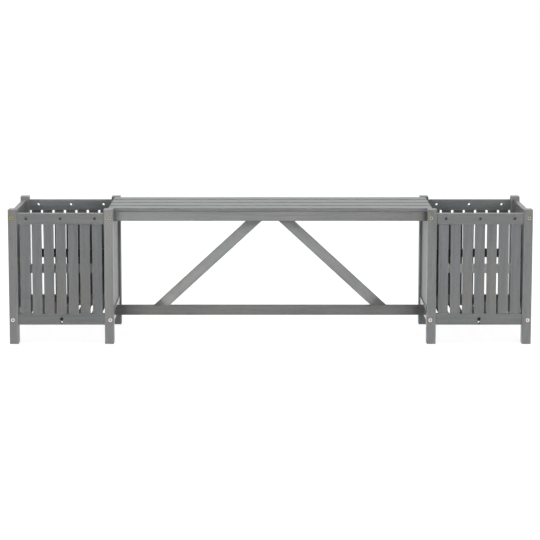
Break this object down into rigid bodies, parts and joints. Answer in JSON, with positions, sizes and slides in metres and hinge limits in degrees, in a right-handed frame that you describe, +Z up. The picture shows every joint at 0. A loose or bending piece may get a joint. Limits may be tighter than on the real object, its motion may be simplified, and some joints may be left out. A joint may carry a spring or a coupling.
{
  "type": "bench with planters",
  "caption": "Garden bench in grey-stained wood: a slatted seat on a braced frame, carried at both ends by square slatted planter boxes.",
  "frame": {"origin": "on the ground, under the middle of the bench", "axes": "+X along the bench, to the right seen from the front; the front faces -Y; +Z up"},
  "size_m": [1.5, 0.3, 0.391],
  "materials": {
    "leg_wood": "grey water-based stain, matt",
    "rail_wood": "grey water-based stain, matt",
    "slat_wood": "grey water-based stain, matt",
    "floor_wood": "grey water-based stain, matt",
    "seat_wood": "grey water-based stain, matt",
    "frame_wood": "grey water-based stain, matt",
    "bolt_steel": "zinc-plated steel"
  },
  "bodies": {
    "root": {"left_front_outer_leg": "leg_wood", "left_front_inner_leg": "leg_wood", "left_rear_outer_leg": "leg_wood", "left_rear_inner_leg": "leg_wood", "right_front_outer_leg": "leg_wood", "right_front_inner_leg": "leg_wood", "right_rear_outer_leg": "leg_wood", "right_rear_inner_leg": "leg_wood", "left_front_top_rail": "rail_wood", "left_front_bottom_rail": "rail_wood", "left_rear_top_rail": "rail_wood", "left_rear_bottom_rail": "rail_wood", "left_outer_side_top_rail": "rail_wood", "left_outer_side_bottom_rail": "rail_wood", "left_inner_side_top_rail": "rail_wood", "left_inner_side_bottom_rail": "rail_wood", "right_front_top_rail": "rail_wood", "right_front_bottom_rail": "rail_wood", "right_rear_top_rail": "rail_wood", "right_rear_bottom_rail": "rail_wood", "right_outer_side_top_rail": "rail_wood", "right_outer_side_bottom_rail": "rail_wood", "right_inner_side_top_rail": "rail_wood", "right_inner_side_bottom_rail": "rail_wood", "left_front_slats": "slat_wood", "left_rear_slats": "slat_wood", "left_outer_side_slats": "slat_wood", "left_inner_side_slats": "slat_wood", "right_front_slats": "slat_wood", "right_rear_slats": "slat_wood", "right_outer_side_slats": "slat_wood", "right_inner_side_slats": "slat_wood", "left_floor": "floor_wood", "right_floor": "floor_wood", "seat_slat_1": "seat_wood", "seat_slat_2": "seat_wood", "seat_slat_3": "seat_wood", "seat_slat_4": "seat_wood", "front_apron": "frame_wood", "rear_apron": "frame_wood", "seat_cross_batten": "frame_wood", "stretcher": "frame_wood", "left_brace": "frame_wood", "right_brace": "frame_wood", "left_front_outer_top_bolt": "bolt_steel", "left_front_outer_bottom_bolt": "bolt_steel", "left_front_inner_top_bolt": "bolt_steel", "left_front_inner_bottom_bolt": "bolt_steel", "left_rear_outer_top_bolt": "bolt_steel", "left_rear_outer_bottom_bolt": "bolt_steel", "left_rear_inner_top_bolt": "bolt_steel", "left_rear_inner_bottom_bolt": "bolt_steel", "right_front_outer_top_bolt": "bolt_steel", "right_front_outer_bottom_bolt": "bolt_steel", "right_front_inner_top_bolt": "bolt_steel", "right_front_inner_bottom_bolt": "bolt_steel", "right_rear_outer_top_bolt": "bolt_steel", "right_rear_outer_bottom_bolt": "bolt_steel", "right_rear_inner_top_bolt": "bolt_steel", "right_rear_inner_bottom_bolt": "bolt_steel"}
  },
  "joints": []
}
